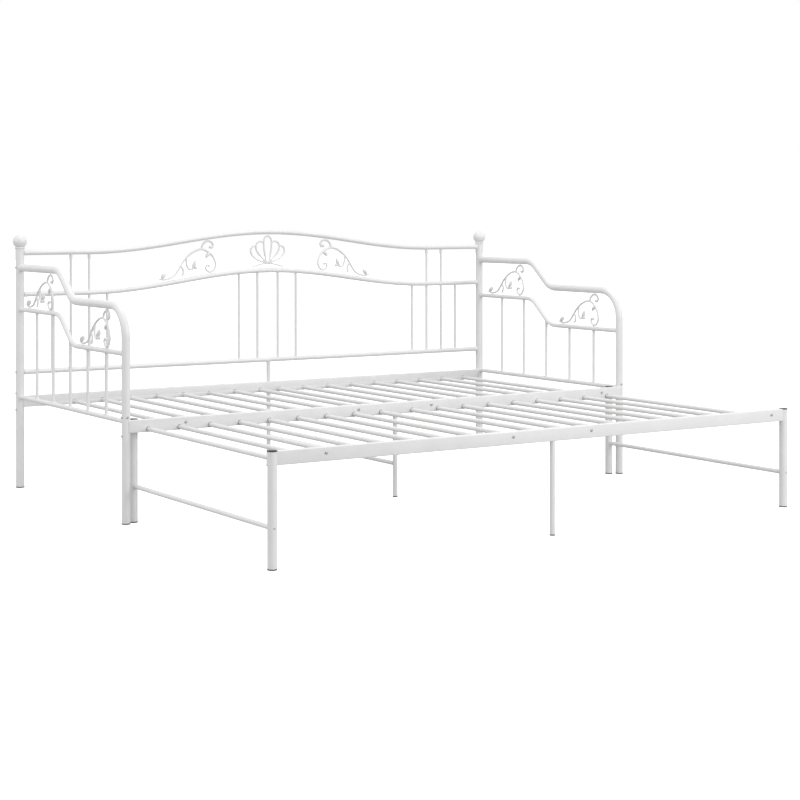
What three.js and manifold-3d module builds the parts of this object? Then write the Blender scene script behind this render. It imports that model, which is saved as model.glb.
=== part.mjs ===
// A metal daybed whose front half pulls out to make a double bed.
// Millimetres, +Z up, +X along the bed, +Y towards the back panel.
// The main frame stays where it is. The pull-out frame slides under it along +Y to close.
import * as THREE from "three";
import Module from "manifold-3d";
import { mergeVertices } from "three/addons/utils/BufferGeometryUtils.js";

const wasm = await Module();
wasm.setup();

// ---------- driving dimensions ----------
const postSpan = 2050; // between the centres of the left and right posts
const frameDepth = 922; // main front leg to rear post, centre to centre
const pullOutReach = 902; // main front leg to the pull-out's front leg, centre to centre
const pullOutInset = 35; // pull-out leg centre inboard of the post centre
const pullOutSetback = 20; // pull-out rear leg centre behind the main front leg centre

const postRadius = 15.5;
const legRadius = 14; // arm hoops and pull-out legs
const tubeWall = 1.5;
const railTubeRadius = 9.5; // the three rails of the back panel
const armRailRadius = 8.5;
const spindleRadius = 5.5;
const slatRadius = 7.5;
const smallLegRadius = 8.5; // centre legs
const braceRadius = 7.5;
const wireRadius = 4; // scrolls
const shellWireRadius = 3.5;
const sectionWall = 1.2; // spindles, slats and braces

const gap = 0.3; // between welded or seated pieces
const holeClearance = 1; // a slat in its hole, on the radius
const railRun = 1; // pull-out rear rail over the main slats

const railTop = 334;
const railHeight = 41;
const railDepth = 20;
const frontRailForward = 5; // front rail's middle ahead of the main front leg centre
const rearRailForward = 7; // rear rail's middle ahead of the rear post centre
const slatDrop = 31.5; // slat centre below the rail's top
const slatPitch = 111;
const slatsPerSide = 9;
const mainSlatStart = 42.5;
const pullSlatStart = 64.5;
const stripThickness = 2.2;
const stripHeight = 15;
const pullRearRailDepth = 20;
const pullRearRailHeight = 20;

const ballRadius = 25;
const ballHeight = 895; // ball centre above the floor
const lowerRailZ = 420;
const middleRailZ = 703; // at the posts
const railRise = 69; // of the middle and top rails at the middle of the bed
const railStep = 151; // top rail above the middle rail
const riseStart = 270; // from the post centre to where the rise begins
const outerSpindles = [125, 197.5, 270, 342.5]; // from the post centre
const upperSpindles = [197.5, 270];
const middleSpindles = [45.5, 127.5]; // from the middle of the bed

const armTopZ = 800;
const armLowZ = 699;
const armStep = 152; // top tube above the arm's middle rail
const armSlopeShare = 0.5315; // middle of the arm's slope, from the front leg over frameDepth
const armSlopeRun = 122; // along Y between the slope's two corners
const armBendRadius = 90;
const armFrontRadius = 105;
const armBottomZ = 329;
const armSpindleStart = 154; // front leg centre to the first spindle
const armSpindleEnd = 166; // last spindle to the rear post centre
const armSpindleCount = 5;

const capRadius = 15;
const capThickness = 5;
const capPlug = 12;
const pullLegTop = 330;
const braceZ = 118;
const footThickness = 4; // closed lower end of a leg
const neckDepth = 8; // a ball's neck below the ball
const scrollLength = 244;
const backScrollTail = 469; // from the middle of the bed to a back scroll's tail
const backScrollLift = 2.5; // room for its tilt
const armScrollShare = 0.2646; // an arm scroll's length over frameDepth
const armHeadShares = [0.6605, 0.1372]; // from the front leg to each arm scroll's head, likewise
const steel = { colour: 0xeeeeea, roughness: 0.38, metalness: 0.1 };
const plastic = { colour: 0x1b1b1c, roughness: 0.6, metalness: 0 };

// ---------- worked out from them ----------
const postX = postSpan / 2;
const pullX = postX - pullOutInset;
const rearY = frameDepth;
const frontRailY = -frontRailForward;
const rearRailY = rearY - rearRailForward;
const pullFrontY = -pullOutReach;
const pullRearY = pullOutSetback;
const slatZ = railTop - slatDrop;
const slatTop = slatZ + slatRadius;
const railZ = railTop - railHeight / 2;
const railBottom = railTop - railHeight;
const postBore = postRadius - tubeWall;
const postTop = ballHeight - Math.sqrt(ballRadius ** 2 - postBore ** 2) - gap;
const armUpperBend = armSlopeShare * frameDepth + armSlopeRun / 2;
const armLowerBend = armUpperBend - armSlopeRun;
const armSpindlePitch = (frameDepth - armSpindleStart - armSpindleEnd) / (armSpindleCount - 1);
const bedBack = rearY + ballRadius;
const bedFront = pullFrontY - capRadius;
const middleY = (bedBack + bedFront) / 2;

const bed = new THREE.Group();
const mainFrame = new THREE.Group();
const pullOut = new THREE.Group();
mainFrame.position.y = -middleY;
pullOut.position.y = -middleY;
bed.add(mainFrame, pullOut);

// ---------- building blocks ----------
// A path with its own stations, so that straight runs need no steps between their ends.
class StationPath extends THREE.Curve {
  constructor(stations) {
    super();
    this.stations = stations;
  }
  station(t) {
    return this.stations[Math.round(t * (this.stations.length - 1))];
  }
  getUtoTmapping(u) {
    return u;
  }
  getPoint(t) {
    return this.station(t).point.clone();
  }
  getTangent(t) {
    return this.station(t).tangent.clone();
  }
}

const vec = (x, y, z) => new THREE.Vector3(x, y, z);

// Stations along straight runs joined by arcs of the given radii.
function roundedStations(corners, radii, arcSteps = 5) {
  const stations = [];
  const first = corners[1].clone().sub(corners[0]).normalize();
  stations.push({ point: corners[0], tangent: first });
  for (let i = 1; i < corners.length - 1; i++) {
    const into = corners[i].clone().sub(corners[i - 1]).normalize();
    const out = corners[i + 1].clone().sub(corners[i]).normalize();
    const angle = into.angleTo(out);
    const radius = radii[i - 1];
    const start = corners[i].clone().addScaledVector(into, -radius * Math.tan(angle / 2));
    const side = out.clone().addScaledVector(into, -out.dot(into)).normalize();
    for (let k = 0; k <= arcSteps; k++) {
      const a = (angle * k) / arcSteps;
      const point = start.clone().addScaledVector(into, radius * Math.sin(a));
      point.addScaledVector(side, radius * (1 - Math.cos(a)));
      const tangent = into.clone().multiplyScalar(Math.cos(a)).addScaledVector(side, Math.sin(a));
      stations.push({ point, tangent });
    }
  }
  const last = corners.at(-1).clone().sub(corners.at(-2)).normalize();
  stations.push({ point: corners.at(-1), tangent: last });
  return stations;
}

// A round section with an optional bore, as a flat shape.
function ring(radius, bore, sides) {
  const at = (r) => (k) => {
    const a = (2 * Math.PI * (k + 0.5)) / sides;
    return new THREE.Vector2(r * Math.cos(a), r * Math.sin(a));
  };
  const count = [...Array(sides).keys()];
  const shape = new THREE.Shape(count.map(at(radius)));
  if (bore > 0) shape.holes.push(new THREE.Path(count.map(at(bore))));
  return shape;
}

function sweep(stations, radius, bore, sides) {
  return new THREE.ExtrudeGeometry(ring(radius, bore, sides), {
    steps: stations.length - 1,
    extrudePath: new StationPath(stations),
  });
}

// A straight round tube from one point to another.
function tube(from, to, radius, wall, sides = 10) {
  const tangent = to.clone().sub(from).normalize();
  const stations = [
    { point: from, tangent },
    { point: to, tangent },
  ];
  return sweep(stations, radius, wall > 0 ? radius - wall : 0, sides);
}

// A straight rectangular tube along X, standing on its narrow side.
function boxTube(halfLength, y, z, depth, height, wall) {
  const rectangle = (w, h) => [
    new THREE.Vector2(-w / 2, -h / 2),
    new THREE.Vector2(w / 2, -h / 2),
    new THREE.Vector2(w / 2, h / 2),
    new THREE.Vector2(-w / 2, h / 2),
  ];
  const shape = new THREE.Shape(rectangle(depth, height));
  shape.holes.push(new THREE.Path(rectangle(depth - 2 * wall, height - 2 * wall)));
  const length = 2 * halfLength;
  const geometry = new THREE.ExtrudeGeometry(shape, { depth: length, bevelEnabled: false });
  geometry.rotateX(Math.PI / 2).rotateZ(Math.PI / 2);
  return geometry.translate(-halfLength, y, z);
}

function block(x0, x1, y0, y1, z0, z1) {
  const box = new THREE.BoxGeometry(x1 - x0, y1 - y0, z1 - z0);
  return box.translate((x0 + x1) / 2, (y0 + y1) / 2, (z0 + z1) / 2);
}

// A turned piece from [radius, height] pairs that start and end on the axis.
function turned(profile, x, y, sides = 12) {
  const points = profile.map(([r, z]) => new THREE.Vector2(r, z));
  return new THREE.LatheGeometry(points, sides).rotateX(Math.PI / 2).translate(x, y, 0);
}

function solid(geometry) {
  const bare = geometry.clone();
  bare.deleteAttribute("normal");
  bare.deleteAttribute("uv");
  const merged = mergeVertices(bare, 1e-3);
  const triVerts = new Uint32Array(merged.index.array);
  const vertProperties = new Float32Array(merged.attributes.position.array);
  return new wasm.Manifold(new wasm.Mesh({ numProp: 3, vertProperties, triVerts }));
}

function surface(body) {
  const { vertProperties, triVerts } = body.getMesh();
  const geometry = new THREE.BufferGeometry();
  geometry.setAttribute("position", new THREE.BufferAttribute(vertProperties, 3));
  geometry.setIndex(new THREE.BufferAttribute(triVerts, 1));
  geometry.computeVertexNormals();
  return geometry;
}

const joined = (pieces) => surface(pieces.map(solid).reduce((a, b) => a.add(b)));

function place(group, name, geometry, look = steel) {
  const material = new THREE.MeshStandardMaterial({
    color: look.colour,
    roughness: look.roughness,
    metalness: look.metalness,
  });
  const mesh = new THREE.Mesh(geometry, material);
  mesh.name = name;
  group.add(mesh);
}

const sides = [
  ["left", -1],
  ["right", 1],
];

// ---------- back panel ----------
// Height of the middle rail's centre: level, then a half cosine up to the middle of the bed.
function middleRailHeight(x) {
  const reach = postX - riseStart;
  const share = Math.min(Math.abs(x) / reach, 1);
  return middleRailZ + (railRise * (1 + Math.cos(Math.PI * share))) / 2;
}

function middleRailSlope(x) {
  const step = 1;
  return (middleRailHeight(x + step) - middleRailHeight(x - step)) / (2 * step);
}

function backRail(lift) {
  const end = postX - postRadius - gap;
  const reach = postX - riseStart;
  const bends = 16;
  const inner = [...Array(bends + 1).keys()].map((k) => -reach + (2 * reach * k) / bends);
  const stations = [-end, ...inner, end].map((x) => ({
    point: vec(x, rearY, middleRailHeight(x) + lift),
    tangent: vec(1, 0, middleRailSlope(x)).normalize(),
  }));
  return sweep(stations, railTubeRadius, railTubeRadius - tubeWall, 8);
}

function straightBackRail() {
  const end = postX - postRadius - gap;
  return tube(vec(-end, rearY, lowerRailZ), vec(end, rearY, lowerRailZ), railTubeRadius, tubeWall, 8);
}

// A spindle between two heights of rail centre, clear of both tubes.
function spindle(x, y, fromZ, toZ, slope, railRadius = railTubeRadius) {
  const clear = railRadius * Math.hypot(1, slope) + Math.abs(slope) * spindleRadius + gap;
  const from = vec(x, y, fromZ + clear);
  const to = vec(x, y, toZ - clear);
  return tube(from, to, spindleRadius, sectionWall, 8);
}

function buildBackPanel() {
  place(mainFrame, "back_lower_rail", straightBackRail());
  place(mainFrame, "back_middle_rail", backRail(0));
  place(mainFrame, "back_top_rail", backRail(railStep));
  for (const [side, sign] of sides) {
    const addSpindle = (name, x, low, high) => {
      const slope = middleRailSlope(x);
      place(mainFrame, name, spindle(x, rearY, low, high, slope));
    };
    outerSpindles.forEach((offset, i) => {
      const x = sign * (postX - offset);
      addSpindle(`${side}_back_spindle_${i + 1}`, x, lowerRailZ, middleRailHeight(x));
    });
    middleSpindles.forEach((offset, i) => {
      const x = sign * offset;
      addSpindle(`${side}_centre_spindle_${i + 1}`, x, lowerRailZ, middleRailHeight(x));
    });
    upperSpindles.forEach((offset, i) => {
      const x = sign * (postX - offset);
      const low = middleRailHeight(x);
      addSpindle(`${side}_upper_spindle_${i + 1}`, x, low, low + railStep);
    });
  }
}

// ---------- posts, balls and centre legs ----------
// A tube standing on the floor, closed at its foot and open at its top.
function standingTube(x, y, top, radius) {
  const bore = radius - tubeWall;
  const inside = [[bore, top], [bore, footThickness], [0, footThickness]];
  return turned([[0, 0], [radius, 0], [radius, top], ...inside], x, y);
}

function ball(x, y) {
  const steps = 8;
  const neck = postBore - gap;
  const start = Math.asin(neck / ballRadius);
  const low = ballHeight - ballRadius - neckDepth;
  const profile = [[0, low], [neck, low]];
  for (let k = 0; k <= steps; k++) {
    const a = start + ((Math.PI - start) * k) / steps;
    const radius = k === steps ? 0 : ballRadius * Math.sin(a);
    profile.push([radius, ballHeight - ballRadius * Math.cos(a)]);
  }
  return turned(profile, x, y, 12);
}

function buildPosts() {
  for (const [side, sign] of sides) {
    place(mainFrame, `${side}_rear_post`, standingTube(sign * postX, rearY, postTop, postRadius));
    place(mainFrame, `${side}_ball_finial`, ball(sign * postX, rearY));
  }
}

function buildCentreLegs() {
  const legTop = railBottom - gap;
  place(mainFrame, "rear_centre_leg", standingTube(0, rearRailY, legTop, smallLegRadius));
  place(mainFrame, "middle_centre_leg", standingTube(0, frontRailY, legTop, smallLegRadius));
  place(pullOut, "front_centre_leg", standingTube(0, pullFrontY, legTop, smallLegRadius));
  const from = vec(0, frontRailY + smallLegRadius + gap, braceZ);
  const to = vec(0, rearRailY - smallLegRadius - gap, braceZ);
  place(mainFrame, "centre_brace", tube(from, to, braceRadius, sectionWall, 8));
  const strutTop = vec(0, rearRailY, lowerRailZ - railTubeRadius - gap);
  const strut = tube(vec(0, rearRailY, railTop + gap), strutTop, smallLegRadius, sectionWall, 8);
  place(mainFrame, "back_centre_strut", strut);
}

// ---------- arms ----------
// Stations of an arm's top tube, lowered by drop and ending at the front leg or running down it.
function armStations(x, drop, corners) {
  const rear = vec(x, rearY - postRadius - gap, armTopZ - drop);
  const upper = vec(x, armUpperBend, armTopZ - drop);
  const lower = vec(x, armLowerBend, armLowZ - drop);
  const radii = [armBendRadius, armBendRadius, armFrontRadius];
  return roundedStations([rear, upper, lower, ...corners], radii, 4);
}

function armHoop(x) {
  const corner = vec(x, 0, armLowZ);
  const stations = armStations(x, 0, [corner, vec(x, 0, 0)]);
  return sweep(stations, legRadius, legRadius - tubeWall, 10);
}

function armMiddleRail(x) {
  const end = vec(x, legRadius + gap, armLowZ - armStep);
  const stations = armStations(x, armStep, [end]);
  return sweep(stations, armRailRadius, armRailRadius - tubeWall, 8);
}

// Lowest height of the arm's middle rail over a spindle that stands at y.
function armRailUnderside(x, y) {
  const line = armStations(x, armStep, [vec(x, 0, armLowZ - armStep)]).map(({ point }) => point);
  const heights = [y - spindleRadius, y, y + spindleRadius].map((at) => {
    const i = line.findIndex((point) => point.y <= at);
    const slope = (line[i - 1].z - line[i].z) / (line[i - 1].y - line[i].y);
    return line[i].z + slope * (at - line[i].y) - armRailRadius * Math.hypot(1, slope);
  });
  return Math.min(...heights);
}

// The arm's bottom rail with its spindles welded on.
function armComb(x) {
  const front = vec(x, legRadius + gap, armBottomZ);
  const rear = vec(x, rearY - postRadius - gap, armBottomZ);
  const pieces = [tube(front, rear, armRailRadius, 0, 8)];
  for (let k = 0; k < armSpindleCount; k++) {
    const y = armSpindleStart + armSpindlePitch * k;
    const to = vec(x, y, armRailUnderside(x, y) - gap);
    pieces.push(tube(vec(x, y, armBottomZ), to, spindleRadius, 0, 8));
  }
  return joined(pieces);
}

function buildArms() {
  for (const [side, sign] of sides) {
    const x = sign * postX;
    place(mainFrame, `${side}_arm_hoop`, armHoop(x));
    place(mainFrame, `${side}_arm_middle_rail`, armMiddleRail(x));
    place(mainFrame, `${side}_arm_spindle_panel`, armComb(x));
  }
}

// ---------- scrolls and shell ----------
// The scroll lies flat: u runs from its head to its tail, v up from the rail it stands on.
const stem = [
  [244, 14], [220, 9], [198, 11], [179, 17], [164, 32], [150, 48], [132, 68], [111, 84], [87, 96],
  [65, 101], [47, 100], [31, 92], [14, 76], [3, 57], [0, 38], [5, 20], [17, 9], [31, 9], [42, 20],
  [42, 31], [32, 36],
];
const topCurl = [[52, 98], [45, 108], [40, 118], [31, 125], [17, 127], [4, 119], [2, 108], [12, 101]];
const tendril = [[118, 79], [121, 62], [121, 46], [115, 34], [105, 30], [94, 38]];
const leaf = [[97, 33], [90, 45], [84, 58]];
const innerLeaf = [[16, 80], [25, 74], [35, 65]];
const stalk = [[147, 50], [139, 30], [146, 9]];
const bud = [[226, 12], [224, 24], [214, 31]];

function flatCurve(points, radius, steps, wireSides = 4) {
  const curve = new THREE.CatmullRomCurve3(points.map(([u, v]) => vec(u, 0, v)), false, "centripetal");
  return new THREE.ExtrudeGeometry(ring(radius, 0, wireSides), { steps, extrudePath: curve });
}

function scroll(length) {
  const lowest = Math.min(...stem.map(([, v]) => v)) - wireRadius;
  const thick = wireRadius * 1.6;
  const pieces = [
    flatCurve(stem, wireRadius, 26),
    flatCurve(topCurl, wireRadius, 8),
    flatCurve(tendril, wireRadius, 6),
    flatCurve(leaf, thick, 3),
    flatCurve(innerLeaf, thick, 2),
    flatCurve(stalk, wireRadius, 4),
    flatCurve(bud, thick, 3),
  ];
  const drawn = stem[0][0];
  return joined(pieces).scale(length / drawn, 1, 1).translate(0, 0, railTubeRadius + gap - lowest);
}

// A scroll standing on a rail: its head at (x, y), turned to run along the given heading.
function standingScroll(length, x, y, z, heading, tilt) {
  return scroll(length).rotateY(tilt).rotateZ(heading).translate(x, y, z);
}

function buildScrolls() {
  const head = backScrollTail - scrollLength;
  const margin = 20;
  const drop = middleRailHeight(head + margin) - middleRailHeight(backScrollTail - margin);
  const tilt = Math.atan2(drop, scrollLength - 2 * margin);
  const z = middleRailHeight(head) + backScrollLift;
  for (const [side, sign] of sides) {
    const heading = sign > 0 ? 0 : Math.PI;
    const casting = standingScroll(scrollLength, sign * head, rearY, z, heading, tilt);
    place(mainFrame, `${side}_back_scroll`, casting);
  }
  const armLength = armScrollShare * frameDepth;
  for (const [side, sign] of sides) {
    armHeadShares.forEach((share, i) => {
      const y = share * frameDepth;
      const name = `${side}_arm_${i === 0 ? "rear" : "front"}_scroll`;
      const rise = i === 0 ? armTopZ - armLowZ : 0;
      const height = armLowZ - armStep + rise;
      const casting = standingScroll(armLength, sign * postX, y, height, Math.PI / 2, 0);
      place(mainFrame, name, casting);
    });
  }
}

const centrePetal = [
  [-6, 30], [-12, 58], [-16.5, 85], [-17.5, 112], [-13, 127], [0, 134], [13, 127], [17.5, 112],
  [16.5, 85], [12, 58], [6, 30],
];
const innerPetal = [
  [17, 106], [28, 113], [41, 112], [51, 103], [52.5, 89], [46, 74], [35, 59], [22, 46], [9, 30],
];
const outerPetal = [
  [52, 97], [66, 93], [75, 84], [75.5, 73], [67, 58], [52, 46], [38, 38], [20, 34], [9, 29],
];
const shellBase = [[-68, 13.5], [-52, 18.5], [-18, 26], [0, 27.5], [18, 26], [52, 18.5], [68, 13.5]];

function shell() {
  const flip = (points) => points.map(([u, v]) => [-u, v]);
  const petals = [innerPetal, outerPetal, flip(innerPetal), flip(outerPetal)];
  const pieces = [
    flatCurve(centrePetal, shellWireRadius, 12),
    ...petals.map((petal) => flatCurve(petal, shellWireRadius, 8)),
    flatCurve(shellBase, shellWireRadius, 6),
  ];
  return joined(pieces).translate(0, rearY, middleRailHeight(0) + gap);
}

// ---------- slats and rails ----------
const slatPlaces = (start) => [...Array(slatsPerSide).keys()].map((k) => start + slatPitch * k);

// Nine slats welded to one flat strip that lies against a long rail.
function slatPanel(sign, start, fromY, toY, stripY) {
  const places = slatPlaces(start).map((x) => sign * x);
  const wide = 10;
  const low = Math.min(...places) - wide;
  const high = Math.max(...places) + wide;
  const strip = block(low, high, stripY, stripY + stripThickness, slatTop - stripHeight, slatTop);
  const slats = places.map((x) => {
    return tube(vec(x, fromY, slatZ), vec(x, toY, slatZ), slatRadius, sectionWall, 8);
  });
  return joined([strip, ...slats]);
}

function frontRailWithHoles() {
  let body = solid(boxTube(postX - legRadius - gap, frontRailY, railZ, railDepth, railHeight, tubeWall));
  const radius = slatRadius + holeClearance;
  for (const x of slatPlaces(pullSlatStart)) {
    for (const [, sign] of sides) {
      const from = vec(sign * x, frontRailY - railDepth, slatZ);
      const to = vec(sign * x, frontRailY + railDepth, slatZ);
      body = body.subtract(solid(tube(from, to, radius, 0, 8)));
    }
  }
  return surface(body);
}

function buildMainDeck() {
  const rearHalf = postX - postRadius - gap;
  place(mainFrame, "rear_rail", boxTube(rearHalf, rearRailY, railZ, railDepth, railHeight, tubeWall));
  place(mainFrame, "front_rail", frontRailWithHoles());
  const front = frontRailY + railDepth / 2 + gap;
  const rear = rearRailY - railDepth / 2 - gap;
  for (const [side, sign] of sides) {
    const panel = slatPanel(sign, mainSlatStart, front, rear, rear - stripThickness);
    place(mainFrame, `${side}_main_slats`, panel);
  }
}

function buildPullOutDeck() {
  const half = pullX - capRadius - gap;
  place(pullOut, "pull_out_front_rail", boxTube(half, pullFrontY, railZ, railDepth, railHeight, tubeWall));
  const rearRailZ = slatTop + railRun + pullRearRailHeight / 2;
  const rearRail = boxTube(half, pullRearY, rearRailZ, pullRearRailDepth, pullRearRailHeight, tubeWall);
  place(pullOut, "pull_out_rear_rail", rearRail);
  const front = pullFrontY + railDepth / 2 + gap;
  const rear = pullRearY + pullRearRailDepth / 2;
  for (const [side, sign] of sides) {
    place(pullOut, `${side}_pull_out_slats`, slatPanel(sign, pullSlatStart, front, rear, front));
  }
}

// ---------- pull-out legs, caps and side braces ----------
function legCap(x, y) {
  const base = pullLegTop + gap;
  const plug = legRadius - tubeWall - gap;
  const profile = [
    [0, base - capPlug], [plug, base - capPlug], [plug, base], [capRadius, base],
    [capRadius, base + capThickness], [0, base + capThickness],
  ];
  return turned(profile, x, y, 12);
}

function buildPullOutLegs() {
  for (const [side, sign] of sides) {
    const x = sign * pullX;
    for (const [end, y] of [["front", pullFrontY], ["rear", pullRearY]]) {
      place(pullOut, `${side}_${end}_pull_out_leg`, standingTube(x, y, pullLegTop, legRadius));
      place(pullOut, `${side}_${end}_leg_cap`, legCap(x, y), plastic);
    }
    const from = vec(x, pullFrontY + legRadius + gap, braceZ);
    const to = vec(x, pullRearY - legRadius - gap, braceZ);
    place(pullOut, `${side}_side_brace`, tube(from, to, braceRadius, sectionWall, 8));
  }
}

buildPosts();
buildBackPanel();
buildArms();
buildScrolls();
place(mainFrame, "shell_ornament", shell());
buildMainDeck();
buildCentreLegs();
buildPullOutDeck();
buildPullOutLegs();

export default bed;
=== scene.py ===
"""A white metal daybed whose front half pulls out into a double bed.

Every length is in metres. X runs along the bed, Y towards the back panel and Z up.
"""

import math

import bpy
import numpy as np
from bpy.props import FloatProperty, FloatVectorProperty, IntProperty, PointerProperty
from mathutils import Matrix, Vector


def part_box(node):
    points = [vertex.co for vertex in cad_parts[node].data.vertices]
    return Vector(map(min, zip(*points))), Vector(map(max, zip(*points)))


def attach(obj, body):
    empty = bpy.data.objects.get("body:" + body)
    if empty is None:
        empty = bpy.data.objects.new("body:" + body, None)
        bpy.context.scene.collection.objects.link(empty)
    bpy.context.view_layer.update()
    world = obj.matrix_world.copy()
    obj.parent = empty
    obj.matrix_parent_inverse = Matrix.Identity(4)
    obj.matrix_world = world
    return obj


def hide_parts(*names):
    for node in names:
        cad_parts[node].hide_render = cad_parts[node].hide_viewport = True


bl_info = {
    "name": "Pull-out Daybed",
    "version": (1, 0, 0),
    "blender": (4, 5, 0),
    "location": "View3D > Sidebar > Daybed",
    "description": "Builds the finished surfaces of a metal daybed with a pull-out second frame",
    "category": "Add Mesh",
}

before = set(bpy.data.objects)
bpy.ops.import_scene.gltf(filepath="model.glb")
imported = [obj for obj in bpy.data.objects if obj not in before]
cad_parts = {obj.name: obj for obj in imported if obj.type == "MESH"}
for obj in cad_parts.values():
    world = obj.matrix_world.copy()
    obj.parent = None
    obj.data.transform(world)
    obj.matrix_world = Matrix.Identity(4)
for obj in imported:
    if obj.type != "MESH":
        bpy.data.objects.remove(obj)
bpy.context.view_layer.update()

MAIN = "daybed_frame"
PULL_OUT = "pull_out_frame"
SIDES = (("left", -1), ("right", 1))
ACROSS_X, ACROSS_Y, UP = np.eye(3)
SHARP = math.radians(40)  # edges sharper than this stay crisp
LET_IN = 0.002  # a welded tube's end runs this far into the tube it meets
SEAT = 0.0003  # a bolt head is sunk this far into its tube


def corners_of(node):
    """Lowest and highest corner of a node at rest, as two arrays."""
    low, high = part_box(node)
    return np.array(low), np.array(high)


def middle_of(node):
    return np.mean(corners_of(node), axis=0)


POST = middle_of("right_rear_post")
PULL_FRONT = middle_of("right_front_pull_out_leg")
PULL_REAR = middle_of("right_rear_pull_out_leg")
HOOP_LOW = corners_of("right_arm_hoop")[0]


def front_leg_y():
    """Middle of the arms' front legs along Y."""
    return HOOP_LOW[1] + bpy.context.scene.daybed_tubes.leg_radius


# ---------- sizes and colours ----------
class TubeSizes(bpy.types.PropertyGroup):
    """Sections of the steel tubes and wires."""

    post_radius: FloatProperty(
        name="Post Radius", description="Rear posts", default=0.0155, min=0.005, unit="LENGTH"
    )
    leg_radius: FloatProperty(
        name="Leg Radius", description="Arm hoops and pull-out legs", default=0.014, min=0.005,
        unit="LENGTH",
    )
    rail_radius: FloatProperty(
        name="Back Rail Radius", description="Three rails of the back panel", default=0.0095,
        min=0.002, unit="LENGTH",
    )
    arm_rail_radius: FloatProperty(
        name="Arm Rail Radius", description="Middle and bottom rails of the arms", default=0.0085,
        min=0.002, unit="LENGTH",
    )
    spindle_radius: FloatProperty(
        name="Spindle Radius", description="Upright spindles", default=0.0055, min=0.002,
        unit="LENGTH",
    )
    slat_radius: FloatProperty(
        name="Slat Radius", description="Round slats", default=0.0075, min=0.002, unit="LENGTH"
    )
    small_leg_radius: FloatProperty(
        name="Centre Leg Radius", description="Legs under the middle of the rails",
        default=0.0085, min=0.002, unit="LENGTH",
    )
    brace_radius: FloatProperty(
        name="Brace Radius", description="Low braces between legs", default=0.0075, min=0.002,
        unit="LENGTH",
    )
    wire_radius: FloatProperty(
        name="Scroll Wire Radius", description="Cast scrolls", default=0.004, min=0.001,
        unit="LENGTH",
    )
    shell_radius: FloatProperty(
        name="Shell Wire Radius", description="Shell ornament", default=0.0034, min=0.001,
        unit="LENGTH",
    )
    rail_corner: FloatProperty(
        name="Rail Corner", description="Outer corner radius of the box rails", default=0.003,
        min=0.0005, unit="LENGTH",
    )
    weld_flare: FloatProperty(
        name="Weld Flare", description="How far a weld bead stands out from its tube",
        default=0.0012, min=0.0, unit="LENGTH",
    )
    sides: IntProperty(
        name="Sides", description="Faces round a tube", default=32, min=12, max=96
    )


class PanelSizes(bpy.types.PropertyGroup):
    """Shape of the back panel and of the arms."""

    middle_rail_z: FloatProperty(
        name="Middle Rail Height", description="At the posts", default=0.703, unit="LENGTH"
    )
    rail_rise: FloatProperty(
        name="Rise", description="Of the curved rails at the middle of the bed", default=0.069,
        unit="LENGTH",
    )
    rail_step: FloatProperty(
        name="Rail Step", description="Top rail above middle rail", default=0.151, unit="LENGTH"
    )
    rise_start: FloatProperty(
        name="Rise Start", description="From the post to where the rise begins", default=0.270,
        unit="LENGTH",
    )
    arm_top_z: FloatProperty(
        name="Arm Top", description="Rear height of the arm", default=0.800, unit="LENGTH"
    )
    arm_low_z: FloatProperty(
        name="Arm Low", description="Front height of the arm", default=0.699, unit="LENGTH"
    )
    arm_step: FloatProperty(
        name="Arm Step", description="Arm top above its middle rail", default=0.152,
        unit="LENGTH",
    )
    arm_upper_bend: FloatProperty(
        name="Upper Bend", description="From the front leg", default=0.551, unit="LENGTH"
    )
    arm_lower_bend: FloatProperty(
        name="Lower Bend", description="From the front leg", default=0.429, unit="LENGTH"
    )
    bend_radius: FloatProperty(
        name="Bend Radius", description="Of the arm's two small bends", default=0.090,
        unit="LENGTH",
    )
    front_radius: FloatProperty(
        name="Front Radius", description="Where the arm turns down into its leg",
        default=0.105, unit="LENGTH",
    )
    spindle_start: FloatProperty(
        name="First Arm Spindle", description="From the front leg", default=0.154, unit="LENGTH"
    )
    spindle_pitch: FloatProperty(
        name="Arm Spindle Pitch", description="Between arm spindles", default=0.1505,
        unit="LENGTH",
    )
    spindle_count: IntProperty(
        name="Arm Spindles", description="In each arm", default=5, min=1, max=12
    )
    scroll_tail: FloatProperty(
        name="Back Scroll Tail", description="From the middle of the bed", default=0.469,
        unit="LENGTH",
    )
    scroll_length: FloatProperty(
        name="Scroll Length", description="Head to tail", default=0.244, unit="LENGTH"
    )
    arm_scroll_heads: FloatVectorProperty(
        name="Arm Scroll Heads", description="From the front leg", default=(0.609, 0.1265),
        size=2, unit="LENGTH",
    )


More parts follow.
